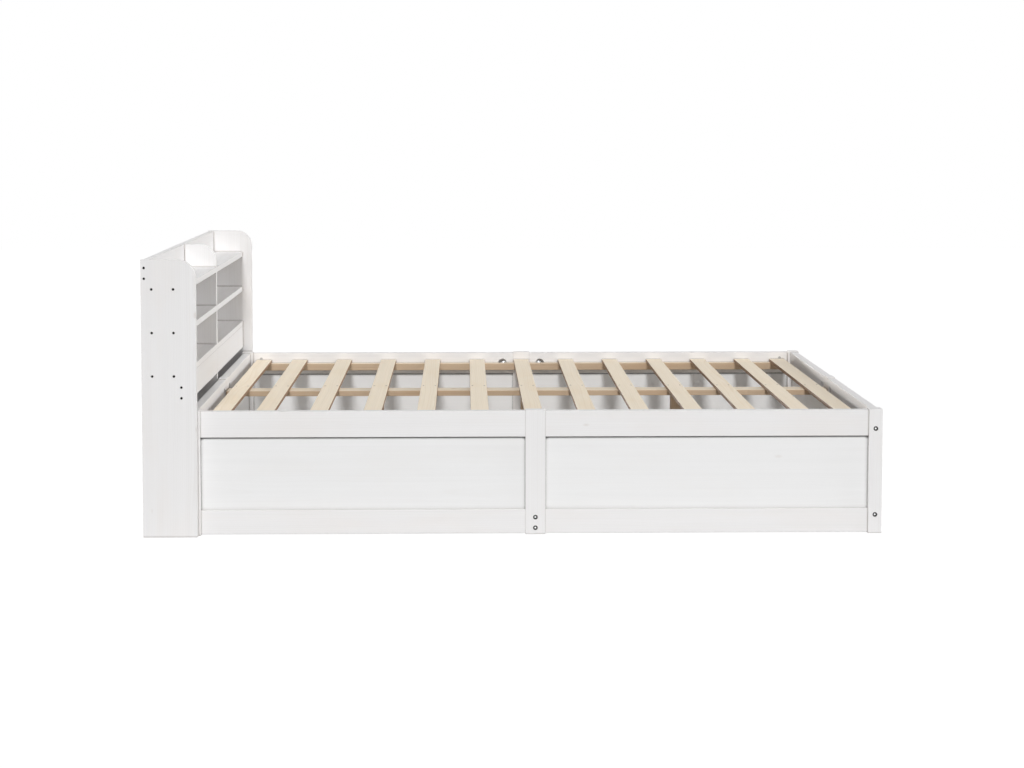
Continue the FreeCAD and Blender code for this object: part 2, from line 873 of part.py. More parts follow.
bolts = []
barrels = []
for end, x_way in (("foot", ALONG_X), ("head", -ALONG_X)):
    for hand, y_sign, y_way in (("right", "-", -ALONG_Y), ("left", "+", ALONG_Y)):
        mark = f"{end}_{hand}"
        for level, height in (
            ("upper", "upper_mid + bolt_stagger"),
            ("lower", "lower_mid - bolt_stagger"),
        ):
            y = f"{y_sign}({side_bolt_y})"
            point = (near(end, post_back_x), y, height)
            bolts.append(copy_of(corner_bolt, f"{level}_side_bolt_{mark}", point, x_way))
            point = (near(end, side_nut_x), y, height)
            barrels.append(copy_of(barrel, f"{level}_side_nut_{mark}", point, -y_way, x_way))
        for level, height in (
            ("upper", "upper_mid - bolt_stagger"),
            ("lower", "lower_mid + bolt_stagger"),
        ):
            x = near(end, end_bolt_x)
            point = (x, f"{y_sign}(post_outer - bolt_sink)", height)
            bolts.append(copy_of(corner_bolt, f"{level}_end_bolt_{mark}", point, y_way))
            point = (x, f"{y_sign}({end_nut_y})", height)
            barrels.append(copy_of(barrel, f"{level}_end_nut_{mark}", point, -x_way, y_way))
for hand, y_sign, y_way in (("right", "-", -ALONG_Y), ("left", "+", ALONG_Y)):
    for level, height in (
        ("lower", "cross_bolt_height"),
        ("upper", "cross_bolt_height + cross_bolt_pitch"),
    ):
        mark = f"{level}_{hand}"
        point = ("mid_x", f"{y_sign}(half_width - bolt_sink)", height)
        bolts.append(copy_of(cross_bolt, f"cross_bolt_{mark}", point, y_way))
        point = ("mid_x", f"{y_sign}(half_width - rail_thick - barrel_inset)", height)
        barrels.append(copy_of(barrel, f"cross_nut_{mark}", point, ALONG_X, y_way))
group("frame_bolts", bolts)
group("barrel_nuts", barrels)

# Half-moon connectors: a stud through each centre post, with a half-moon and a nut in the rail at each end
stud = doc.addObject("PartDesign::Body", "connector_stud")
add(
    stud,
    "AdditiveCylinder",
    {"Radius": "bolt_diameter / 2", "Height": "stud_length"},
    ("0", "0", "-stud_length / 2"),
)
# the half-moon lies with its round back against the pocket's wall, its hole along Z and its width along X
moon = doc.addObject("PartDesign::Body", "half_moon")
add(
    moon,
    "AdditiveCylinder",
    {"Radius": "moon_diameter / 2 - screw_play", "Height": "moon_width"},
    ("-moon_width / 2", "0", "moon_diameter / 2 - moon_web"),
    Rotation(ALONG_Z, ALONG_X),
)
mill(
    moon,
    ("-moon_width", "-moon_diameter", "0"),
    ("2 * moon_width", "2 * moon_diameter", "2 * moon_diameter"),
)
drill(moon, ("0", "0", "overrun"), -ALONG_Z, "bolt_diameter / 2 + bolt_play", "moon_web + 2 * overrun")
nut = doc.addObject("PartDesign::Body", "connector_nut")
hexagon = add(
    nut,
    "AdditivePrism",
    {"Circumradius": "nut_corner", "Height": "nut_height"},
)
hexagon.Polygon = 6
drill(nut, ("0", "0", "nut_height + overrun"), -ALONG_Z, "bolt_diameter / 2", "nut_height + 2 * overrun")

centre_points = {
    "right": ("mid_x", f"-({side_rail_mid_y})", ALONG_X),
    "left": ("mid_x", side_rail_mid_y, ALONG_X),
    "foot": (end_rail_mid_x, "0", ALONG_Y),
    "head": (near("head", end_rail_mid_x), "0", ALONG_Y),
}
connectors = []
for place, (x, y, way) in centre_points.items():
    for level in ("upper", "lower"):
        mark = f"{level}_{place}"
        height = f"{level}_mid"
        connectors.append(copy_of(stud, f"stud_{mark}", (x, y, height), way))
        for end, sign in (("far", "+"), ("near", "-")):
            reach = f"{sign} (centre_post_width / 2 + moon_flat)"
            if way == ALONG_X:
                point = (f"{x} {reach}", y, height)
            else:
                point = (x, f"{y} {reach}", height)
            outward = way if sign == "+" else -way
            across = outward.cross(ALONG_Z)
            for master, kind in ((moon, "half_moon"), (nut, "nut")):
                connectors.append(copy_of(master, f"{kind}_{mark}_{end}", point, outward, across))
group("half_moon_connectors", connectors)

# Screws: through the headboard's sides, and through each slat
side_screw = screw("side_screw", "screw_diameter", "screw_head", "screw_head_height", "screw_length")
slat_screw = screw(
    "slat_screw",
    "slat_screw_diameter",
    "slat_screw_head",
    "slat_screw_head_height",
    "slat_screw_length",
)
screws = []
for index, (x, z) in enumerate(screw_points, start=1):
    for hand, y_sign, y_way in (("right", "-", -ALONG_Y), ("left", "+", ALONG_Y)):
        point = (f"back_x + {x}", f"{y_sign}(post_outer + side_thick - screw_sink)", z)
        screws.append(copy_of(side_screw, f"side_screw_{hand}_{index}", point, y_way))
for index, place in enumerate(slat_places, start=1):
    for sign, name in (("-", "head"), ("+", "foot")):
        point = (f"mid_x + {place} {sign} slat_screw_pair / 2", "0", "slat_top - slat_screw_sink")
        screws.append(copy_of(slat_screw, f"slat_screw_{index}_{name}", point))
group("wood_screws", screws)


def dowel(label, length):
    """Make a dowel along its own Z, from Z 0 up."""
    body = doc.addObject("PartDesign::Body", label)
    add(body, "AdditiveCylinder", {"Radius": "dowel_diameter / 2", "Height": length})
    return body


# Dowels through the divider into the boards on both sides of it, and between the head posts and the sides
shelf_dowel = dowel("shelf_dowel", "dowel_length")
post_dowel = dowel("post_dowel", "post_dowel_length")
dowels = [
    copy_of(shelf_dowel, f"dowel_{index}", (f"back_x + {x}", "-dowel_length / 2", z), ALONG_Y)
    for index, (x, z) in enumerate([*dowel_points, apron_dowel], start=1)
]
for hand, y_sign, y_way in (("right", "-", ALONG_Y), ("left", "+", -ALONG_Y)):
    for index, height in enumerate(post_dowel_levels, start=1):
        point = ("head_face_x - post_side / 2", f"{y_sign}(post_outer + side_dowel_depth)", height)
        dowels.append(copy_of(post_dowel, f"post_dowel_{hand}_{index}", point, y_way))
group("dowels", dowels)

# Everything has to have come out whole before anything is written
doc.recompute()
for item in doc.Objects:
    if "Invalid" in item.State or "Error" in item.State:
        raise RuntimeError(f"{item.Label} failed: {item.State}")
    if item.TypeId.startswith("PartDesign::Subtractive"):
        if item.Shape.Volume >= item.BaseFeature.Shape.Volume:
            raise RuntimeError(f"{item.Label} cuts nothing")
for node in nodes:
    if node.Shape.isNull() or not node.Shape.isValid():
        raise RuntimeError(f"{node.Label} has no valid shape")

os.makedirs("parts", exist_ok=True)
for node in nodes:
    node.Shape.exportStep(f"parts/{node.Label}.step")
print(len(nodes), "nodes,", sum(len(node.Shape.Solids) for node in nodes), "solids")
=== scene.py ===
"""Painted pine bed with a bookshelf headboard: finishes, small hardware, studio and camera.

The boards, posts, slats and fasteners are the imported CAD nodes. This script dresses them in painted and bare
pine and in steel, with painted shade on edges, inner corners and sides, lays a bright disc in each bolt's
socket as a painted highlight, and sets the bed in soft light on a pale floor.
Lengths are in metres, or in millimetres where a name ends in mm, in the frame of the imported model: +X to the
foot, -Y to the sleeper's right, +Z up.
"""
import logging
import math
from dataclasses import dataclass, replace
from enum import Enum
from typing import Any

import bmesh
import bpy
from mathutils import Matrix, Vector


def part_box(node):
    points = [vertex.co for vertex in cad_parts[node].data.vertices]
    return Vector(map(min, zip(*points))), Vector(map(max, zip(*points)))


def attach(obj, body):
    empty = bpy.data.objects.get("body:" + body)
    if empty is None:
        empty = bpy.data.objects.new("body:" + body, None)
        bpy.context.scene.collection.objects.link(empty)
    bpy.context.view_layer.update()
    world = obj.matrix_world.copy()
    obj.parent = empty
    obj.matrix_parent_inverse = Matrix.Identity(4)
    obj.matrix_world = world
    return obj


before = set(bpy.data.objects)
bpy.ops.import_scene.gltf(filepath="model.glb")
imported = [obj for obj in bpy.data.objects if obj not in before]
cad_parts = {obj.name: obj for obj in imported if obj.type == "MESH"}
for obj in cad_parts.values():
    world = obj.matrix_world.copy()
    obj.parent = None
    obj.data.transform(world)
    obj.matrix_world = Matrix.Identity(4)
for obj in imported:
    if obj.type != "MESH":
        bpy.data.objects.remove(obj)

log = logging.getLogger("bed")

MM = 0.001

# Numbers of the Mix node's colour sockets, whose names other kinds of data share
MIX_A = 6
MIX_B = 7
MIX_RESULT = 2

# Detail of a soft noise, and of one with more small forms in it
SOFT_DETAIL = 2.0
MORE_DETAIL = 3.0

# Values at which a pattern starts and is full, where it fills its whole span
WHOLE_SPAN = (0.0, 1.0)

# Values at which a painted shade on a part of a board is full, and at which it ends: how far a face looks up
# or down, for the sides; how flat the board is, for the edges; and how open it is, for the corners and the
# strips
SIDE_LIMITS = (0.5, 0.8)
EDGE_LIMITS = (0.75, 0.98)
CORNER_LIMITS = (0.5, 0.95)
STRIP_LIMITS = (0.4, 0.75)

# Rays that feel for an edge, and for another face
EDGE_SAMPLES = 4
CORNER_SAMPLES = 8

# Size of a cell of space in the ways in which it doesn't divide the bed: past that of the bed
UNDIVIDED = 10.0

# Corners of a mesh closer than this are one
WELD = 0.001 * MM

# Turn of a camera from looking straight down to looking level, in degrees
LEVEL = 90.0


def linear(hex_colour: str) -> tuple[float, float, float, float]:
    """Turn an sRGB hex colour into linear red, green, blue and alpha.

    Args:
        hex_colour: Six hex digits after a hash sign.

    Returns:
        The linear colour, with full alpha.
    """
    channels = [int(hex_colour[i:i + 2], 16) / 255 for i in (1, 3, 5)]
    red, green, blue = (c / 12.92 if c <= 0.04045 else ((c + 0.055) / 1.055) ** 2.4 for c in channels)
    return red, green, blue, 1.0


WHITE = linear("#ffffff")


def add_node(
    tree: bpy.types.NodeTree,
    kind: str,
    settings: dict[str, Any] | None = None,
    inputs: dict[str | int, Any] | None = None,
) -> bpy.types.Node:
    """Add one node with its settings, its plain inputs and its links.

    Args:
        tree: The node tree that takes the node.
        kind: Blender's type name of the node.
        settings: Properties of the node, by name.
        inputs: Values or output sockets for its inputs, by socket name or number.

    Returns:
        The new node.
    """
    node = tree.nodes.new(kind)
    for name, value in (settings or {}).items():
        setattr(node, name, value)
    for key, value in (inputs or {}).items():
        socket = node.inputs[key]
        if isinstance(value, bpy.types.NodeSocket):
            tree.links.new(value, socket)
        else:
            socket.default_value = value
    return node


def empty_material(name: str) -> tuple[bpy.types.Material, bpy.types.NodeTree]:
    """Make a material with no nodes in it yet.

    Args:
        name: The material's name.

    Returns:
        The material and its node tree.
    """
    material = bpy.data.materials.new(name)
    material.use_nodes = True
    material.node_tree.nodes.clear()
    return material, material.node_tree


class Grain(Enum):
    """The way a board's grain runs, with the turn that lays it along X."""

    LENGTHWISE = (0.0, 0.0, 0.0)
    CROSSWISE = (0.0, 0.0, -math.pi / 2)
    UPRIGHT = (0.0, math.pi / 2, 0.0)


@dataclass(frozen=True)
class Repeat:
    """Equal boards that share one node, told apart by the cell of space that each one stands in.

    Attributes:
        start: The lowest corner of the first cell.
        cell: The size of a cell.
    """

    start: Vector
    cell: Vector


@dataclass(frozen=True)
class GrainField:
    """Sockets that describe the wood at a point, each from 0 to 1.

    Attributes:
        late: The dark, dense edge of a growth ring.
        fibre: Fine fibres along the grain.
        streak: Broad bands along the grain, lighter and darker.
        cloud: Soft patches.
        knot: Inside a knot.
        board: One chance value for each board.
    """

    late: bpy.types.NodeSocket
    fibre: bpy.types.NodeSocket
    streak: bpy.types.NodeSocket
    cloud: bpy.types.NodeSocket
    knot: bpy.types.NodeSocket
    board: bpy.types.NodeSocket


@dataclass(frozen=True)
class PineGrowth:
    """How the pine grew: a solid pattern, so that faces, edges and end grain belong together.

    A pair of sizes is along and across the grain. Limits are the noise values at which a pattern starts and
    is full.

    Attributes:
        ring_mm: Width of a growth ring.
        ring_edge: How late in its year a ring darkens, as a power.
        ring_least: Strength of the palest ring beside the darkest.
        wander_mm: How far the rings wander from straight.
        wander_room_mm: Size of one such bend.
        fibre_mm: Size of a bundle of fibres.
        fibre_limits: Limits of the fibres.
        streak_mm: Size of a lighter or darker band.
        streak_limits: Limits of the bands.
        cloud_mm: Size of a soft patch.
        cloud_limits: Limits of the patches.
        knot_mm: Half width of a knot across the grain.
        knot_core: Share of that half width inside the knot's soft edge.
        knot_room_mm: Room for one knot.
        trunk_mm: Length of the trunk that the boards come from.
        heart_least_mm: Least distance of a board's middle from the heart, across its width and thickness.
        heart_spread_mm: How much further off the heart may be.
    """

    ring_mm: float = 4.5
    ring_edge: float = 3.0
    ring_least: float = 0.3
    wander_mm: float = 14.0
    wander_room_mm: tuple[float, float] = (714.29, 200.0)
    fibre_mm: tuple[float, float] = (111.11, 1.1)
    fibre_limits: tuple[float, float] = (0.3, 0.7)
    streak_mm: tuple[float, float] = (769.23, 13.0)
    streak_limits: tuple[float, float] = (0.25, 0.75)
    cloud_mm: tuple[float, float] = (250.0, 76.92)
    cloud_limits: tuple[float, float] = (0.48, 0.72)
    knot_mm: float = 7.0
    knot_core: float = 0.35
    knot_room_mm: tuple[float, float] = (260.0, 110.0)
    trunk_mm: float = 5000.0
    heart_least_mm: tuple[float, float] = (20.0, 24.0)
    heart_spread_mm: float = 50.0

    def lay(self, tree: bpy.types.NodeTree, grain: Grain, repeat: Repeat | None) -> GrainField:
        """Add the nodes of the grain.

        Args:
            tree: The material's node tree.
            grain: The way the grain runs.
            repeat: The cells of equal boards in one node, or None where a node is one board.

        Returns:
            The sockets of the field.
        """
        place = add_node(tree, "ShaderNodeTexCoord").outputs["Object"]
        centre = self._board_centre(tree, place, repeat)
        chance = add_node(tree, "ShaderNodeTexWhiteNoise", {"noise_dimensions": "3D"}, {"Vector": centre})
        local = add_node(tree, "ShaderNodeVectorMath", {"operation": "SUBTRACT"}, {0: place, 1: centre})
        along = add_node(
            tree,
            "ShaderNodeMapping",
            {"vector_type": "POINT"},
            {"Vector": local.outputs[0], "Rotation": grain.value},
        )
        # each board comes from a chance place along the trunk, and to one side of its heart
        least_y, least_z = (least * MM for least in self.heart_least_mm)
        spread = self.heart_spread_mm * MM
        heart = add_node(
            tree,
            "ShaderNodeVectorMath",
            {"operation": "MULTIPLY_ADD"},
            {
                0: chance.outputs["Color"],
                1: (self.trunk_mm * MM, spread, spread),
                2: (0.0, least_y, least_z),
            },
        )
        wood = add_node(
            tree,
            "ShaderNodeVectorMath",
            {"operation": "ADD"},
            {0: along.outputs[0], 1: heart.outputs[0]},
        ).outputs[0]
        return GrainField(
            late=self._rings(tree, wood),
            fibre=self._drawn_noise(tree, wood, self.fibre_mm).outputs["Fac"],
            streak=self._drawn_noise(tree, wood, self.streak_mm, MORE_DETAIL).outputs["Fac"],
            cloud=self._drawn_noise(tree, wood, self.cloud_mm).outputs["Fac"],
            knot=self._knots(tree, wood),
            board=chance.outputs["Value"],
        )

    @staticmethod
    def _board_centre(
        tree: bpy.types.NodeTree, place: bpy.types.NodeSocket, repeat: Repeat | None
    ) -> bpy.types.NodeSocket:
        """Find the middle of the board that a point belongs to.

        Args:
            tree: The material's node tree.
            place: The point.
            repeat: The cells of equal boards in one node, or None where a node is one board.

        Returns:
            The middle of the node's box, or of the point's cell.
        """
        if repeat is None:
            return add_node(
                tree,
                "ShaderNodeAttribute",
                {"attribute_type": "OBJECT", "attribute_name": "board_centre"},
            ).outputs["Vector"]
        moved = add_node(
            tree, "ShaderNodeVectorMath", {"operation": "SUBTRACT"}, {0: place, 1: repeat.start}
        )
        cell = add_node(
            tree, "ShaderNodeVectorMath", {"operation": "SNAP"}, {0: moved.outputs[0], 1: repeat.cell}
        )
        return add_node(
            tree,
            "ShaderNodeVectorMath",
            {"operation": "ADD"},
            {0: cell.outputs[0], 1: repeat.start + repeat.cell / 2},
        ).outputs[0]

    @staticmethod
    def _drawn_noise(
        tree: bpy.types.NodeTree,
        wood: bpy.types.NodeSocket,
        size_mm: tuple[float, float],
        detail: float = SOFT_DETAIL,
    ) -> bpy.types.Node:
        """Add a noise drawn out along the grain.

        Args:
            tree: The material's node tree.
            wood: Place in the wood, with the grain along X.
            size_mm: Size of its forms along and across the grain.
            detail: The noise's detail.

        Returns:
            The noise's node.
        """
        along, across = (1 / (size * MM) for size in size_mm)
        scaled = add_node(
            tree, "ShaderNodeVectorMath", {"operation": "MULTIPLY"}, {0: wood, 1: (along, across, across)}
        )
        return add_node(
            tree,
            "ShaderNodeTexNoise",
            inputs={"Vector": scaled.outputs[0], "Scale": 1.0, "Detail": detail},
        )

    def _rings(self, tree: bpy.types.NodeTree, wood: bpy.types.NodeSocket) -> bpy.types.NodeSocket:
        """Add growth rings round the heart, each going from pale early wood to a sharp dark edge.

        Args:
            tree: The material's node tree.
            wood: Place in the wood, with the grain along X.

        Returns:
            The share of late wood.
        """
        drift = self._drawn_noise(tree, wood, self.wander_room_mm)
        # the noise runs from 0 to 1, so its full swing is twice the wander to either side
        reach = 2 * self.wander_mm * MM
        bent = add_node(
            tree,
            "ShaderNodeVectorMath",
            {"operation": "MULTIPLY_ADD"},
            {0: drift.outputs["Color"], 1: (0.0, reach, reach), 2: wood},
        )
        flat = add_node(
            tree, "ShaderNodeVectorMath", {"operation": "MULTIPLY"}, {0: bent.outputs[0], 1: (0.0, 1.0, 1.0)}
        )
        radius = add_node(tree, "ShaderNodeVectorMath", {"operation": "LENGTH"}, {0: flat.outputs[0]})
        count = add_node(
            tree,
            "ShaderNodeMath",
            {"operation": "DIVIDE"},
            {0: radius.outputs["Value"], 1: self.ring_mm * MM},
        ).outputs[0]
        year = add_node(tree, "ShaderNodeMath", {"operation": "FLOOR"}, {0: count})
        season = add_node(tree, "ShaderNodeMath", {"operation": "FRACT"}, {0: count})
        edge = add_node(
            tree, "ShaderNodeMath", {"operation": "POWER"}, {0: season.outputs[0], 1: self.ring_edge}
        )
        weather = add_node(
            tree, "ShaderNodeTexWhiteNoise", {"noise_dimensions": "1D"}, {"W": year.outputs[0]}
        )
        strong = add_node(
            tree,
            "ShaderNodeMath",
            {"operation": "MULTIPLY_ADD"},
            {0: weather.outputs["Value"], 1: 1 - self.ring_least, 2: self.ring_least},
        )
        return add_node(
            tree, "ShaderNodeMath", {"operation": "MULTIPLY"}, {0: edge.outputs[0], 1: strong.outputs[0]}
        ).outputs[0]

    def _knots(self, tree: bpy.types.NodeTree, wood: bpy.types.NodeSocket) -> bpy.types.NodeSocket:
        """Add knots, longer along the grain, at chance places.

        Args:
            tree: The material's node tree.
            wood: Place in the wood, with the grain along X.

        Returns:
            One inside a knot and none outside, with a soft edge.
        """
        along, across = (1 / (room * MM) for room in self.knot_room_mm)
        scaled = add_node(
            tree, "ShaderNodeVectorMath", {"operation": "MULTIPLY"}, {0: wood, 1: (along, across, across)}
        )
        nearest = add_node(
            tree,
            "ShaderNodeTexVoronoi",
            {"feature": "F1", "voronoi_dimensions": "3D"},
            {"Vector": scaled.outputs[0], "Scale": 1.0, "Randomness": 1.0},
        )
        rim = self.knot_mm / self.knot_room_mm[1]
        return add_node(
            tree,
            "ShaderNodeMapRange",
            {"interpolation_type": "SMOOTHSTEP"},
            {
                "Value": nearest.outputs["Distance"],
                "From Min": self.knot_core * rim,
                "From Max": rim,
                "To Min": 1.0,
                "To Max": 0.0,
            },
        ).outputs[0]


@dataclass(frozen=True)
class PineFinish:
    """Pine board, painted or bare.

    Attributes:
        name: The material's name.
        early: Colour of the wood or paint where it is palest.
        late: Colour over the dark edge of a growth ring.
        patch: Colour of the soft patches.
        knot: Colour of a knot.
        late_share: How much of the late colour shows.
        patch_share: How much of the patch colour shows.
        knot_share: How much of the knot colour shows.
        streak_span: Brightness of the darkest and the lightest bands.
        board_span: Brightness of the darkest and the lightest board.
        roughness: The surface's roughness between the fibres, and on them.
        relief_mm: Depth of the grain's relief.
        relief_share: How much of the relief shows.
        late_relief: Height of the late wood beside that of the fibres.
        ior: Index of refraction of the paint or the wood.
        growth: How the pine grew.
        side: Painted shade on the faces that look sideways, over the colours of the top and bottom, or None.
        edge: Painted shade along the edges, over the colours of the faces, or None.
        painted_edge_shade_mm: Width of the tinted edge.
        corner: Painted shade in the inner corners, or None.
        painted_corner_shade_mm: Width of the tinted corner.
        under: Painted shadow on the strip right under another board, or None.
        painted_shade_under_mm: Height of that strip.
    """

    name: str
    early: str
    late: str
    patch: str
    knot: str
    late_share: float
    patch_share: float
    knot_share: float
    streak_span: tuple[float, float]
    board_span: tuple[float, float]
    roughness: tuple[float, float]
    relief_mm: float
    relief_share: float = 0.6
    late_relief: float = 0.5
    ior: float = 1.5
    growth: PineGrowth = PineGrowth()
    side: str | None = None
    edge: str | None = None
    painted_edge_shade_mm: float = 2.5
    corner: str | None = None
    painted_corner_shade_mm: float = 12.0
    under: str | None = None
    painted_shade_under_mm: float = 7.0

    def material(self, grain: Grain, repeat: Repeat | None = None) -> bpy.types.Material:
        """Make the finish for boards whose grain runs one way.

        Args:
            grain: The way the grain runs.
            repeat: The cells of equal boards in one node, or None.

        Returns:
            The material.
        """
        suffix = "_repeat" if repeat else ""
        material, tree = empty_material(f"{self.name}_{grain.name.lower()}{suffix}")
        wood = self.growth.lay(tree, grain, repeat)
        colour = self._toned(tree, wood, self._painted_shade(tree, self._figured(tree, wood)))
        fibre_start, fibre_full = self.growth.fibre_limits
        rough = add_node(
            tree,
            "ShaderNodeMapRange",
            inputs={
                "Value": wood.fibre,
                "From Min": fibre_start,
                "From Max": fibre_full,
                "To Min": self.roughness[0],
                "To Max": self.roughness[1],
            },
        )
        height = add_node(
            tree,
            "ShaderNodeMath",
            {"operation": "MULTIPLY_ADD"},
            {0: wood.late, 1: self.late_relief, 2: wood.fibre},
        )
        relief = add_node(
            tree,
            "ShaderNodeBump",
            inputs={
                "Strength": self.relief_share,
                "Distance": self.relief_mm * MM,
                "Height": height.outputs[0],
            },
        )
        shader = add_node(
            tree,
            "ShaderNodeBsdfPrincipled",
            inputs={
                "Base Color": colour,
                "Roughness": rough.outputs[0],
                "IOR": self.ior,
                "Normal": relief.outputs[0],
            },
        )
        add_node(tree, "ShaderNodeOutputMaterial", inputs={"Surface": shader.outputs[0]})
        return material

    def _figured(self, tree: bpy.types.NodeTree, wood: GrainField) -> bpy.types.NodeSocket:
        """Lay the soft patches, the rings and the knots over the palest colour.

        Args:
            tree: The material's node tree.
            wood: The grain.

        Returns:
            The colour of the open faces.
        """
        colour: Any = linear(self.early)
        for amount, (start, full), share, tint in (
            (wood.cloud, self.growth.cloud_limits, self.patch_share, self.patch),
            (wood.late, WHOLE_SPAN, self.late_share, self.late),
            (wood.knot, WHOLE_SPAN, self.knot_share, self.knot),
        ):
            weight = add_node(
                tree,
                "ShaderNodeMapRange",
                inputs={
                    "Value": amount,
                    "From Min": start,
                    "From Max": full,
                    "To Min": 0.0,
                    "To Max": share,
                },
            )
            colour = add_node(
                tree,
                "ShaderNodeMix",
                {"data_type": "RGBA"},
                {"Factor": weight.outputs[0], MIX_A: colour, MIX_B: linear(tint)},
            ).outputs[MIX_RESULT]
        return colour

    def _painted_shade(self, tree: bpy.types.NodeTree, colour: bpy.types.NodeSocket) -> bpy.types.NodeSocket:
        """Paint shade onto the sides, the edges, the inner corners and the strips under other boards.

        Args:
            tree: The material's node tree.
            colour: The colour of the open faces.

        Returns:
            The colour with the painted shade over it.
        """
        # each tint is painted shade: a darker colour where less light would reach the face
        for tint, measure, (full, end) in (
            (self.side, self._levelness, SIDE_LIMITS),
            (self.edge, self._flatness, EDGE_LIMITS),
            (self.corner, self._openness, CORNER_LIMITS),
            (self.under, self._openness_above, STRIP_LIMITS),
        ):
            if tint:
                share = add_node(
                    tree,
                    "ShaderNodeMapRange",
                    inputs={
                        "Value": measure(tree),
                        "From Min": full,
                        "From Max": end,
                        "To Min": 1.0,
                        "To Max": 0.0,
                    },
                )
                colour = add_node(
                    tree,
                    "ShaderNodeMix",
                    {"data_type": "RGBA", "blend_type": "MULTIPLY"},
                    {"Factor": share.outputs[0], MIX_A: colour, MIX_B: linear(tint)},
                ).outputs[MIX_RESULT]
        return colour

    def _toned(
        self, tree: bpy.types.NodeTree, wood: GrainField, colour: bpy.types.NodeSocket
    ) -> bpy.types.NodeSocket:
        """Make bands along the grain and whole boards lighter or darker.

        Args:
            tree: The material's node tree.
            wood: The grain.
            colour: The colour of a board of middling brightness.

        Returns:
            The colour of the board.
        """
        for amount, (start, full), (darkest, lightest) in (
            (wood.streak, self.growth.streak_limits, self.streak_span),
            (wood.board, WHOLE_SPAN, self.board_span),
        ):
            tone = add_node(
                tree,
                "ShaderNodeMapRange",
                inputs={
                    "Value": amount,
                    "From Min": start,
                    "From Max": full,
                    "To Min": darkest,
                    "To Max": lightest,
                },
            )
            colour = add_node(
                tree, "ShaderNodeVectorMath", {"operation": "SCALE"}, {0: colour, "Scale": tone.outputs[0]}
            ).outputs[0]
        return colour

    @staticmethod
    def _levelness(tree: bpy.types.NodeTree) -> bpy.types.NodeSocket:
        """Measure how far a face looks up or down.

        Args:
            tree: The material's node tree.

        Returns:
            One on a top or bottom face, none on a face that looks sideways.
        """
        facing = add_node(tree, "ShaderNodeNewGeometry").outputs["True Normal"]
        upward = add_node(tree, "ShaderNodeSeparateXYZ", inputs={0: facing}).outputs["Z"]
        return add_node(tree, "ShaderNodeMath", {"operation": "ABSOLUTE"}, {0: upward}).outputs[0]

    def _flatness(self, tree: bpy.types.NodeTree) -> bpy.types.NodeSocket:
        """Measure how flat the board is, by what rounding its edges would change.

        Args:
            tree: The material's node tree.

        Returns:
            One on the open face, less close to an edge.
        """
        facing = add_node(tree, "ShaderNodeNewGeometry").outputs["True Normal"]
        rounded = add_node(
            tree, "ShaderNodeBevel", {"samples": EDGE_SAMPLES}, {"Radius": self.painted_edge_shade_mm * MM}
        ).outputs["Normal"]
        return add_node(
            tree, "ShaderNodeVectorMath", {"operation": "DOT_PRODUCT"}, {0: facing, 1: rounded}
        ).outputs["Value"]

    def _openness(self, tree: bpy.types.NodeTree) -> bpy.types.NodeSocket:
        """Measure how open a place is, by what other faces shut off from it.

        Args:
            tree: The material's node tree.

        Returns:
            One on the open face, less in an inner corner.
        """
        return add_node(
            tree,
            "ShaderNodeAmbientOcclusion",
            {"samples": CORNER_SAMPLES},
            {"Distance": self.painted_corner_shade_mm * MM},
        ).outputs["AO"]

    def _openness_above(self, tree: bpy.types.NodeTree) -> bpy.types.NodeSocket:
        """Measure how open a place is to the way out and up.

        Args:
            tree: The material's node tree.

        Returns:
            One on the open face, less right under a board.
        """
        facing = add_node(tree, "ShaderNodeNewGeometry").outputs["True Normal"]
        tilted = add_node(
            tree, "ShaderNodeVectorMath", {"operation": "ADD"}, {0: facing, 1: (0.0, 0.0, 1.0)}
        ).outputs[0]
        above = add_node(tree, "ShaderNodeVectorMath", {"operation": "NORMALIZE"}, {0: tilted}).outputs[0]
        return add_node(
            tree,
            "ShaderNodeAmbientOcclusion",
            {"samples": CORNER_SAMPLES},
            {"Distance": self.painted_shade_under_mm * MM, "Normal": above},
        ).outputs["AO"]


@dataclass(frozen=True)
class SteelFinish:
    """Steel of bolts, nuts and screws: plated, blackened or freshly cut.

    Attributes:
        name: The material's name.
        bright: Colour of the clean surface.
        dull: Colour of the duller patches.
        roughness: Roughness of the clean and of the dull surface.
        patch_mm: Size of a patch.
        patch_limits: Noise values at which the roughness of a patch starts and is full.
    """

    name: str
    bright: str
    dull: str
    roughness: tuple[float, float]
    patch_mm: float
    patch_limits: tuple[float, float] = (0.3, 0.7)

    def material(self) -> bpy.types.Material:
        """Make the finish.

        Returns:
            The material.
        """
        material, tree = empty_material(self.name)
        place = add_node(tree, "ShaderNodeTexCoord").outputs["Object"]
        patches = add_node(
            tree,
            "ShaderNodeTexNoise",
            inputs={"Vector": place, "Scale": 1 / (self.patch_mm * MM), "Detail": MORE_DETAIL},
        ).outputs["Fac"]
        colour = add_node(
            tree,
            "ShaderNodeMix",
            {"data_type": "RGBA"},
            {"Factor": patches, MIX_A: linear(self.bright), MIX_B: linear(self.dull)},
        )
        rough = add_node(
            tree,
            "ShaderNodeMapRange",
            inputs={
                "Value": patches,
                "From Min": self.patch_limits[0],
                "From Max": self.patch_limits[1],
                "To Min": self.roughness[0],
                "To Max": self.roughness[1],
            },
        )
        shader = add_node(
            tree,
            "ShaderNodeBsdfPrincipled",
            inputs={
                "Base Color": colour.outputs[MIX_RESULT],
                "Metallic": 1.0,
                "Roughness": rough.outputs[0],
            },
        )
        add_node(tree, "ShaderNodeOutputMaterial", inputs={"Surface": shader.outputs[0]})
        return material
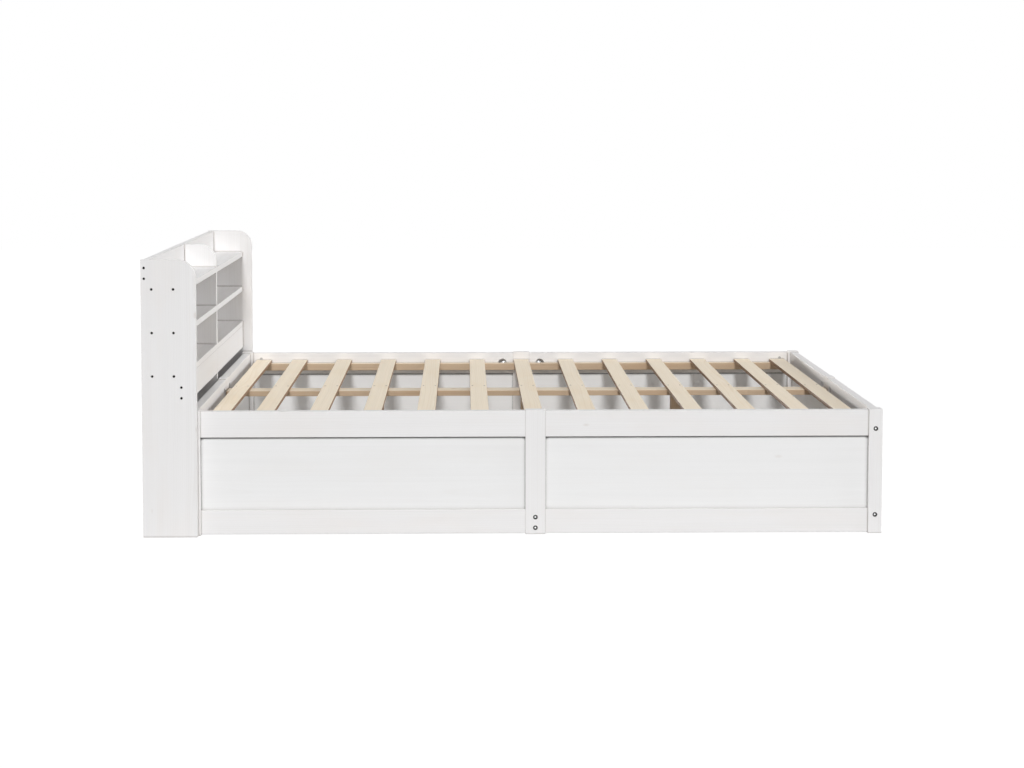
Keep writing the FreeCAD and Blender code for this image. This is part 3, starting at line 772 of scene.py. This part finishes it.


# Pine, planed and sprayed with thin white satin paint: an even off-white in which some rings, soft warm
# patches and a few knots still show faintly, with the fibres as a slight relief, and with painted shade that
# greys the edges and the inner corners
PAINTED_PINE = PineFinish(
    name="white_painted_pine",
    early="#efeeee",
    late="#e0dcd9",
    patch="#eeebe9",
    knot="#cdc3bc",
    late_share=0.30,
    patch_share=0.65,
    knot_share=0.5,
    streak_span=(0.985, 1.012),
    board_span=(0.985, 1.01),
    roughness=(0.42, 0.55),
    relief_mm=0.12,
    edge="#e9e6e3",
    corner="#d2cfcc",
    painted_corner_shade_mm=6.0,
)

# The same pine and paint on the headboard, with stronger painted shade: a thin grey line follows each edge,
# and the inner corners darken a little more
PAINTED_HEADBOARD = replace(
    PAINTED_PINE,
    name="white_painted_headboard_pine",
    edge="#cfcbc7",
    painted_edge_shade_mm=3.0,
    corner="#d0ccc9",
    painted_corner_shade_mm=8.0,
)

# Pine panel, sanded and sprayed with the same paint: whiter and more even, with the grain nearly filled; a
# painted shadow makes a dark line under the rail above it, and painted shade greys the inner corners
PAINTED_PANEL = PineFinish(
    name="white_painted_panel",
    early="#f1f1f1",
    late="#e9e7e6",
    patch="#efeeed",
    knot="#dcd6d1",
    late_share=0.25,
    patch_share=0.5,
    knot_share=0.3,
    streak_span=(0.985, 1.012),
    board_span=(0.99, 1.01),
    roughness=(0.42, 0.52),
    relief_mm=0.08,
    corner="#e2e1e0",
    # painted shadow: a dark line on the panel right under the rail above it
    under="#4c4947",
    painted_shade_under_mm=11.0,
)

# Pine, planed top and bottom, sawn at the sides and left bare: cream early wood, honey late wood and brown
# knots, dull to the light, with the sides painted darker brown as painted shade
BARE_PINE = PineFinish(
    name="bare_planed_pine",
    early="#fdefd8",
    late="#ead2ac",
    patch="#fae8cc",
    knot="#a67d58",
    late_share=0.4,
    patch_share=0.6,
    knot_share=0.7,
    streak_span=(0.97, 1.03),
    board_span=(0.985, 1.02),
    roughness=(0.46, 0.6),
    relief_mm=0.2,
    side="#92765f",
)

# Pine, sawn from nearer the heart, planed on top and left bare: a deeper tan with red-brown late wood, dull,
# with the sides painted a little darker as painted shade
HEART_PINE = PineFinish(
    name="bare_sawn_pine",
    early="#eee0c9",
    late="#cfae88",
    patch="#ead5b8",
    knot="#a37b57",
    late_share=0.4,
    patch_share=0.6,
    knot_share=0.7,
    streak_span=(0.93, 1.04),
    board_span=(0.96, 1.03),
    roughness=(0.5, 0.65),
    relief_mm=0.3,
    side="#dccec3",
)

# Steel, turned or pressed and bright zinc plated: pale grey, half gloss
ZINC = SteelFinish(
    name="bright_zinc_plated_steel", bright="#c8cacc", dull="#a9abad", roughness=(0.24, 0.4), patch_mm=6.0
)

# Steel, cold headed and phosphated: nearly black, with a dull shine
BLACK_STEEL = SteelFinish(
    name="black_phosphated_steel", bright="#222224", dull="#161618", roughness=(0.38, 0.55), patch_mm=4.0
)

# Bright steel with a fine dull scoring, laid at the bottom of each bolt's socket as a painted highlight
SOCKET_HIGHLIGHT_STEEL = SteelFinish(
    name="socket_highlight_steel", bright="#f0f0f0", dull="#dedfe0", roughness=(0.35, 0.5), patch_mm=2.0
)


def paint(material: bpy.types.Material, *nodes: str) -> None:
    """Give CAD nodes one material, and note where the middle of each is.

    Args:
        material: The material.
        nodes: The CAD nodes' names.
    """
    for node in nodes:
        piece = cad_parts[node]
        low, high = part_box(node)
        piece["board_centre"] = list((low + high) / 2)
        for slot in piece.material_slots:
            slot.material = material
        log.info("%s: %s", node, material.name)


@dataclass
class Headboard:
    """Sides and divider stand on the floor; shelves, aprons and back lie between them.

    Attributes:
        upright: Nodes whose grain runs up.
        crosswise: Nodes whose grain runs across the bed.
    """

    upright: tuple[str, ...] = ("headboard_side_left", "headboard_side_right", "headboard_divider")
    crosswise: tuple[str, ...] = (
        "top_shelf_left",
        "top_shelf_right",
        "middle_shelf_left",
        "middle_shelf_right",
        "bottom_shelf_left",
        "bottom_shelf_right",
        "headboard_apron_left",
        "headboard_apron_right",
        "top_back_board",
        "headboard_back",
    )

    def dress(self) -> None:
        """Paint the boards, each with its grain along its length."""
        paint(PAINTED_HEADBOARD.material(Grain.UPRIGHT), *self.upright)
        paint(PAINTED_HEADBOARD.material(Grain.CROSSWISE), *self.crosswise)


@dataclass
class Base:
    """Posts, and the rails and panels between them.

    Attributes:
        upright: Nodes whose grain runs up. The rails and panels are found by their names.
    """

    upright: tuple[str, ...] = (
        "foot_post_left",
        "foot_post_right",
        "head_post_left",
        "head_post_right",
        "side_centre_post_left",
        "side_centre_post_right",
        "foot_centre_post",
        "head_centre_post",
    )

    def dress(self) -> None:
        """Paint the boards, each with its grain along its length."""
        boards = {grain: PAINTED_PINE.material(grain) for grain in Grain}
        panels = {grain: PAINTED_PANEL.material(grain) for grain in (Grain.LENGTHWISE, Grain.CROSSWISE)}
        paint(boards[Grain.UPRIGHT], *self.upright)
        for node in sorted(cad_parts):
            grain = Grain.LENGTHWISE if "side_" in node else Grain.CROSSWISE
            if "_rail_" in node:
                paint(boards[grain], node)
            elif "_panel_" in node:
                paint(panels[grain], node)


@dataclass
class SlatDeck:
    """Slats on ledgers and a centre beam, all of bare pine.

    Attributes:
        slat_pitch: Distance between the middles of two slats.
        leg_room: Length of the beam that holds one leg at most.
        lengthwise: Nodes whose grain runs along the bed.
        crosswise: Nodes whose grain runs across the bed, apart from the slats.
    """

    slat_pitch: float = 164.7 * MM
    leg_room: float = 300 * MM
    lengthwise: tuple[str, ...] = (
        "ledger_left_foot",
        "ledger_left_head",
        "ledger_right_foot",
        "ledger_right_head",
        "centre_beam_foot",
        "centre_beam_head",
    )
    crosswise: tuple[str, ...] = ("cross_beam", "dowels", "beam_rests")

    def dress(self) -> None:
        """Lay the grain along each bar, and tell slats and legs apart by their place."""
        paint(HEART_PINE.material(Grain.LENGTHWISE), *self.lengthwise)
        paint(HEART_PINE.material(Grain.CROSSWISE), *self.crosswise)
        slats = self._cells("slats", self.slat_pitch)
        paint(BARE_PINE.material(Grain.CROSSWISE, slats), "slats")
        legs = self._cells("centre_legs", self.leg_room)
        paint(HEART_PINE.material(Grain.UPRIGHT, legs), "centre_legs")

    @staticmethod
    def _cells(node: str, pitch: float) -> Repeat:
        """Divide a node along the bed into cells with one board each.

        Args:
            node: The CAD node's name.
            pitch: Length of a cell.

        Returns:
            The cells, one of them round the node's middle.
        """
        low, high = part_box(node)
        cell = Vector((pitch, UNDIVIDED, UNDIVIDED))
        return Repeat((low + high) / 2 - cell / 2, cell)


def solids_of(node: str) -> list[tuple[Vector, Vector]]:
    """Find the separate solids of a CAD node.

    Args:
        node: The CAD node's name.

    Returns:
        The lowest and highest corner of each solid's box.
    """
    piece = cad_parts[node]
    copy = bmesh.new()
    copy.from_mesh(piece.data)
    copy.transform(piece.matrix_world)
    bmesh.ops.remove_doubles(copy, verts=copy.verts[:], dist=WELD)
    boxes = []
    waiting = set(copy.verts)
    while waiting:
        found = [waiting.pop()]
        for vertex in found:
            for edge in vertex.link_edges:
                other = edge.other_vert(vertex)
                if other in waiting:
                    waiting.remove(other)
                    found.append(other)
        corners = list(zip(*(vertex.co for vertex in found)))
        boxes.append((Vector([min(c) for c in corners]), Vector([max(c) for c in corners])))
    copy.free()
    return boxes


@dataclass
class Hardware:
    """Bolts, nuts, connectors and screws.

    Attributes:
        socket_mm: Width of the hexagon socket in a bolt's head.
        socket_depth_mm: Depth of the socket.
        highlight_disc_mm: Thickness of the bright disc laid in each socket as a painted highlight.
        highlight_disc_share: Radius of the disc, as a share of the socket's width.
        highlight_disc_sides: Sides of the disc's outline.
        plated: Nodes of bright zinc plated steel.
        blackened: Nodes of black steel.
    """

    socket_mm: float = 6.0
    socket_depth_mm: float = 4.0
    highlight_disc_mm: float = 3.2
    highlight_disc_share: float = 0.48
    highlight_disc_sides: int = 24
    plated: tuple[str, ...] = ("barrel_nuts", "half_moon_connectors")
    blackened: tuple[str, ...] = ("frame_bolts", "wood_screws")

    def dress(self) -> None:
        """Plate the nuts, blacken the bolts and screws, and lay a bright disc in each bolt's socket as a
        painted highlight.
        """
        paint(ZINC.material(), *self.plated)
        paint(BLACK_STEEL.material(), *self.blackened)
        self._socket_highlights(SOCKET_HIGHLIGHT_STEEL.material())

    def _socket_highlights(self, steel: bpy.types.Material) -> None:
        """Lay a disc of bright steel at the bottom of each socket, as a painted highlight at its middle.

        Args:
            steel: The discs' material.
        """
        discs = bmesh.new()
        middle_depth = (self.socket_depth_mm - self.highlight_disc_mm / 2) * MM
        radius = self.highlight_disc_share * self.socket_mm * MM
        for low, high in solids_of("frame_bolts"):
            size = high - low
            axis = max(range(3), key=lambda i: size[i])
            out = Vector((0.0, 0.0, 0.0))
            out[axis] = 1.0 if (low + high)[axis] > 0 else -1.0
            place = (low + high) / 2 + out * (size[axis] / 2 - middle_depth)
            bmesh.ops.create_cone(
                discs,
                cap_ends=True,
                segments=self.highlight_disc_sides,
                radius1=radius,
                radius2=radius,
                depth=self.highlight_disc_mm * MM,
                matrix=Matrix.Translation(place) @ out.to_track_quat("Z", "Y").to_matrix().to_4x4(),
            )
        mesh = bpy.data.meshes.new("bolt_socket_highlights")
        discs.to_mesh(mesh)
        discs.free()
        mesh.materials.append(steel)
        piece = bpy.data.objects.new("bolt_socket_highlights", mesh)
        bpy.context.scene.collection.objects.link(piece)
        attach(piece, "root")
        log.info("%s: %s", piece.name, steel.name)


@dataclass(frozen=True)
class Lamp:
    """A far, soft lamp.

    Attributes:
        name: The lamp's name.
        way: The way from the bed to the lamp.
        strength: Its light on a face turned to it.
        size: The angle that it fills, in degrees.
    """

    name: str
    way: tuple[float, float, float]
    strength: float
    size: float

    def hang(self) -> None:
        """Add the lamp to the scene."""
        light = bpy.data.lights.new(self.name, "SUN")
        light.energy = self.strength
        light.angle = math.radians(self.size)
        lamp = bpy.data.objects.new(self.name, light)
        lamp.rotation_mode = "QUATERNION"
        lamp.rotation_quaternion = Vector(self.way).to_track_quat("Z", "Y")
        bpy.context.scene.collection.objects.link(lamp)


@dataclass
class Studio:
    """Floor, lights and camera.

    Attributes:
        camera_place: Where the camera stands.
        camera_down: How far it looks down, in degrees.
        camera_turn: How far it turns towards the foot, in radians.
        lens_mm: Its focal length.
        sensor_mm: Width of its sensor.
        shift: Its lens shift, across and up.
        floor_half: Half the floor's width.
        floor_colour: The floor's colour.
        floor_glow: Share of plain white in the floor that the camera sees.
        floor_white: Strength of that white, so that it and the lit share come to white.
        sky: Strength of the even light all round.
        background: Strength of the white that the camera sees behind the bed.
        lights: The lamps.
    """

    camera_place: tuple[float, float, float] = (-0.14981, -6.35331, 1.23127)
    camera_down: float = 3.5
    camera_turn: float = 0.019
    lens_mm: float = 66.871
    sensor_mm: float = 36.0
    shift: tuple[float, float] = (0.0118, -0.1423)
    floor_half: float = 12.0
    floor_colour: str = "#c6c6c6"
    floor_glow: float = 0.8
    floor_white: float = 1.13
    sky: float = 0.15
    background: float = 1.0
    lights: tuple[Lamp, ...] = (
        Lamp("key_light", way=(-0.035, -1.0, 0.75), strength=1.76, size=10.0),
        Lamp("high_fill", way=(0.38, -0.66, 0.64), strength=0.15, size=25.0),
        Lamp("head_fill", way=(-0.48, -0.84, 0.26), strength=0.15, size=25.0),
        Lamp("side_fill", way=(0.48, -0.84, 0.26), strength=0.3, size=25.0),
        Lamp("foot_fill", way=(0.94, 0.0, 0.22), strength=1.5, size=25.0),
        Lamp("wall_fill", way=(-1.0, 0.02, 0.08), strength=1.3, size=10.0),
        Lamp("far_fill", way=(-0.5, 1.0, 0.02), strength=1.3, size=4.0),
    )

    def build(self) -> None:
        """Make the floor, the lights, the sky and the camera."""
        self._floor()
        for lamp in self.lights:
            lamp.hang()
        self._sky()
        self._camera()

    def _floor(self) -> None:
        """Lay a pale floor that reads as white, and keeps the bed's shadow."""
        grid = bmesh.new()
        bmesh.ops.create_grid(grid, x_segments=1, y_segments=1, size=self.floor_half)
        mesh = bpy.data.meshes.new("studio_floor")
        grid.to_mesh(mesh)
        grid.free()
        floor = bpy.data.objects.new("studio_floor", mesh)
        bpy.context.scene.collection.objects.link(floor)
        material, tree = empty_material("pale_studio_paper")
        matt = add_node(tree, "ShaderNodeBsdfDiffuse", inputs={"Color": linear(self.floor_colour)})
        bright = add_node(tree, "ShaderNodeBsdfDiffuse", inputs={"Color": WHITE})
        white = add_node(tree, "ShaderNodeEmission", inputs={"Strength": self.floor_white})
        seen = add_node(
            tree,
            "ShaderNodeMixShader",
            inputs={"Fac": self.floor_glow, 1: bright.outputs[0], 2: white.outputs[0]},
        )
        shown = add_node(
            tree,
            "ShaderNodeMixShader",
            inputs={"Fac": self._looked_at(tree), 1: matt.outputs[0], 2: seen.outputs[0]},
        )
        add_node(tree, "ShaderNodeOutputMaterial", inputs={"Surface": shown.outputs[0]})
        mesh.materials.append(material)

    @staticmethod
    def _looked_at(tree: bpy.types.NodeTree) -> bpy.types.NodeSocket:
        """Add a test for rays that look at a surface: from the camera, a mirror or through glass.

        Args:
            tree: The node tree that takes the test.

        Returns:
            One for such a ray.
        """
        ray = add_node(tree, "ShaderNodeLightPath")
        either = add_node(
            tree,
            "ShaderNodeMath",
            {"operation": "MAXIMUM"},
            {0: ray.outputs["Is Camera Ray"], 1: ray.outputs["Is Glossy Ray"]},
        )
        return add_node(
            tree,
            "ShaderNodeMath",
            {"operation": "MAXIMUM"},
            {0: either.outputs[0], 1: ray.outputs["Is Transmission Ray"]},
        ).outputs[0]

    def _sky(self) -> None:
        """Light the bed evenly from all round, in front of a white background."""
        world = bpy.data.worlds.new("studio")
        world.use_nodes = True
        tree = world.node_tree
        tree.nodes.clear()
        strength = add_node(
            tree,
            "ShaderNodeMapRange",
            inputs={"Value": self._looked_at(tree), "To Min": self.sky, "To Max": self.background},
        )
        light = add_node(
            tree, "ShaderNodeBackground", inputs={"Color": WHITE, "Strength": strength.outputs[0]}
        )
        add_node(tree, "ShaderNodeOutputWorld", inputs={"Surface": light.outputs[0]})
        bpy.context.scene.world = world

    def _camera(self) -> None:
        """Set up the camera where the photograph was taken from."""
        lens = bpy.data.cameras.new("camera")
        lens.sensor_width = self.sensor_mm
        lens.lens = self.lens_mm
        lens.shift_x, lens.shift_y = self.shift
        camera = bpy.data.objects.new("camera", lens)
        camera.location = self.camera_place
        camera.rotation_euler = (math.radians(LEVEL - self.camera_down), 0.0, -self.camera_turn)
        bpy.context.scene.collection.objects.link(camera)
        bpy.context.scene.camera = camera


def main() -> None:
    """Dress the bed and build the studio."""
    logging.basicConfig(level=logging.INFO, format="%(name)s: %(message)s")
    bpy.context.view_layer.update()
    bpy.context.scene.view_settings.view_transform = "Standard"
    Headboard().dress()
    Base().dress()
    SlatDeck().dress()
    Hardware().dress()
    Studio().build()


if __name__ == "__main__":
    main()
